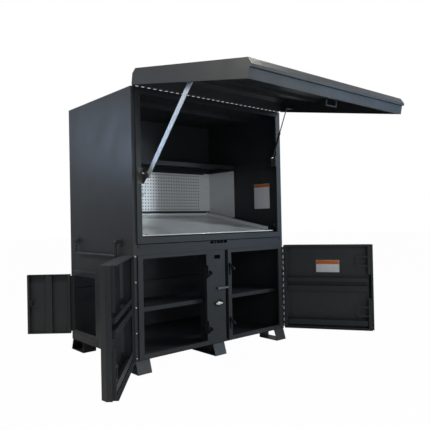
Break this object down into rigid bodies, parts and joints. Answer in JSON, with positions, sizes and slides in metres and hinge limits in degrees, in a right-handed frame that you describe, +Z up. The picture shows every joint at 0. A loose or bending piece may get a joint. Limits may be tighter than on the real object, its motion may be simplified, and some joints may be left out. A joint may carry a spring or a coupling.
{
  "type": "mobile jobsite storage cabinet",
  "caption": "Tall steel jobsite cabinet with a lift-up canopy over a sloping worktop, paired lower doors, a small side door, drop handles and a hidden lock.",
  "frame": {"origin": "on the floor, under the middle of the cabinet box", "axes": "+X to the right seen from the front, +Y to the back, +Z up"},
  "size_m": [2.5336, 2.3167, 2.0985],
  "materials": {
    "charcoal_steel": "semi-gloss charcoal powder coat",
    "inner_steel": "semi-gloss charcoal powder coat, seen in shade",
    "white_panel": "smooth white powder coat",
    "zinc": "dull zinc plate",
    "chrome": "bright plate",
    "black_steel": "satin black"
  },
  "bodies": {
    "cabinet": {"floor_pan": "inner_steel", "left_wall": "charcoal_steel", "right_wall": "charcoal_steel", "back_wall": "charcoal_steel", "roof_panel": "charcoal_steel", "front_plate": "charcoal_steel", "upper_lip": "charcoal_steel", "left_lip": "charcoal_steel", "right_lip": "charcoal_steel", "lock_channel": "inner_steel", "lock_cover": "charcoal_steel", "back_rail": "inner_steel", "roof_rail": "inner_steel", "side_rails": "inner_steel", "upper_shelf": "inner_steel", "lower_shelf": "inner_steel", "peg_panel": "white_panel", "side_liner": "white_panel", "worktop": "white_panel", "worktop_brackets": "inner_steel", "front_feet": "charcoal_steel", "rear_feet": "charcoal_steel", "canopy_hinge_leaf": "zinc", "left_hinge_leaf": "charcoal_steel", "right_hinge_leaf": "zinc", "side_hinge_leaf": "zinc", "prop_bracket": "charcoal_steel", "strut_bracket": "charcoal_steel", "handle_mounts": "charcoal_steel"},
    "canopy": {"canopy_shell": "charcoal_steel", "canopy_rim": "charcoal_steel", "canopy_beam": "charcoal_steel", "canopy_lid_leaf": "zinc", "canopy_staple": "zinc", "canopy_studs": "charcoal_steel"},
    "left_door": {"left_door_shell": "charcoal_steel", "left_door_rim": "charcoal_steel", "left_door_trays": "charcoal_steel", "left_door_keepers": "charcoal_steel", "left_door_leaf": "charcoal_steel"},
    "right_door": {"right_door_shell": "charcoal_steel", "right_door_rim": "charcoal_steel", "right_door_trays": "charcoal_steel", "right_door_keepers": "charcoal_steel", "right_door_leaf": "zinc"},
    "side_door": {"side_door_panel": "charcoal_steel", "side_door_leaf": "zinc"},
    "side_latch": {"side_latch": "zinc"},
    "left_handle": {"left_handle": "charcoal_steel"},
    "right_handle": {"right_handle": "charcoal_steel"},
    "lock_lever": {"lock_lever": "chrome"},
    "lock_knob": {"lock_knob": "chrome"},
    "left_hook_bar": {"left_hook_bar": "charcoal_steel"},
    "right_hook_bar": {"right_hook_bar": "charcoal_steel"},
    "prop_bar": {"prop_bar": "zinc"},
    "strut_cylinder": {"strut_cylinder": "black_steel"},
    "strut_rod": {"strut_rod": "chrome"}
  },
  "joints": [
    {"name": "canopy_hinge", "type": "hinge", "parent": "cabinet", "child": "canopy", "pos_m": [0, -0.5, 2.002], "axis": [-1, 0, 0], "range_deg": [-79.3, 0]},
    {"name": "left_door_hinge", "type": "hinge", "parent": "cabinet", "child": "left_door", "pos_m": [-0.762, -0.498, 0.456], "axis": [0, 0, -1], "range_deg": [-128.8, 35]},
    {"name": "right_door_hinge", "type": "hinge", "parent": "cabinet", "child": "right_door", "pos_m": [0.762, -0.498, 0.456], "axis": [0, 0, 1], "range_deg": [-123.5, 40]},
    {"name": "side_door_hinge", "type": "hinge", "parent": "cabinet", "child": "side_door", "pos_m": [-0.798, 0.416, 0.397], "axis": [0, 0, -1], "range_deg": [-130.7, 20]},
    {"name": "side_latch_turn", "type": "hinge", "parent": "side_door", "child": "side_latch", "pos_m": [-1.0391, 0.6234, 0.397], "axis": [-0.6521, -0.7581, 0], "range_deg": [0, 90]},
    {"name": "left_handle_swing", "type": "hinge", "parent": "cabinet", "child": "left_handle", "pos_m": [-0.794, 0.014, 0.912], "axis": [0, 1, 0], "range_deg": [-10, 95]},
    {"name": "right_handle_swing", "type": "hinge", "parent": "cabinet", "child": "right_handle", "pos_m": [0.794, 0.014, 0.912], "axis": [0, -1, 0], "range_deg": [-10, 95]},
    {"name": "lever_turn", "type": "hinge", "parent": "cabinet", "child": "lock_lever", "pos_m": [-0.013, -0.49, 0.522], "axis": [0, 1, 0], "range_deg": [0, 50]},
    {"name": "left_bar_slide", "type": "slide", "parent": "cabinet", "child": "left_hook_bar", "axis": [0, 0, 1], "range_m": [0, 0.03]},
    {"name": "right_bar_slide", "type": "slide", "parent": "cabinet", "child": "right_hook_bar", "axis": [0, 0, -1], "range_m": [0, 0.03]},
    {"name": "knob_turn", "type": "hinge", "parent": "cabinet", "child": "lock_knob", "pos_m": [-0.013, -0.49, 0.406], "axis": [0, 1, 0], "range_deg": [0, 90]},
    {"name": "prop_swing", "type": "hinge", "parent": "canopy", "child": "prop_bar", "pos_m": [-0.6735, -1.10054, 1.96485], "axis": [-1, 0, 0], "range_deg": [0, 57]},
    {"name": "strut_swing", "type": "hinge", "parent": "cabinet", "child": "strut_cylinder", "pos_m": [0.678, -0.479, 1.59], "axis": [1, 0, 0], "range_deg": [-14.3, 0]},
    {"name": "strut_rod_slide", "type": "slide", "parent": "strut_cylinder", "child": "strut_rod", "axis": [0, -0.3921, 0.9199], "range_m": [-0.175, 0]}
  ],
  "couplings": [
    {"joint": "left_bar_slide", "follows": "lever_turn", "m_per_rad": 0.034},
    {"joint": "right_bar_slide", "follows": "lever_turn", "m_per_rad": 0.034},
    {"joint": "prop_swing", "follows": "canopy_hinge", "ratio": -0.7144},
    {"joint": "strut_swing", "follows": "canopy_hinge", "ratio": 0.1789},
    {"joint": "strut_rod_slide", "follows": "canopy_hinge", "m_per_rad": 0.1255}
  ]
}
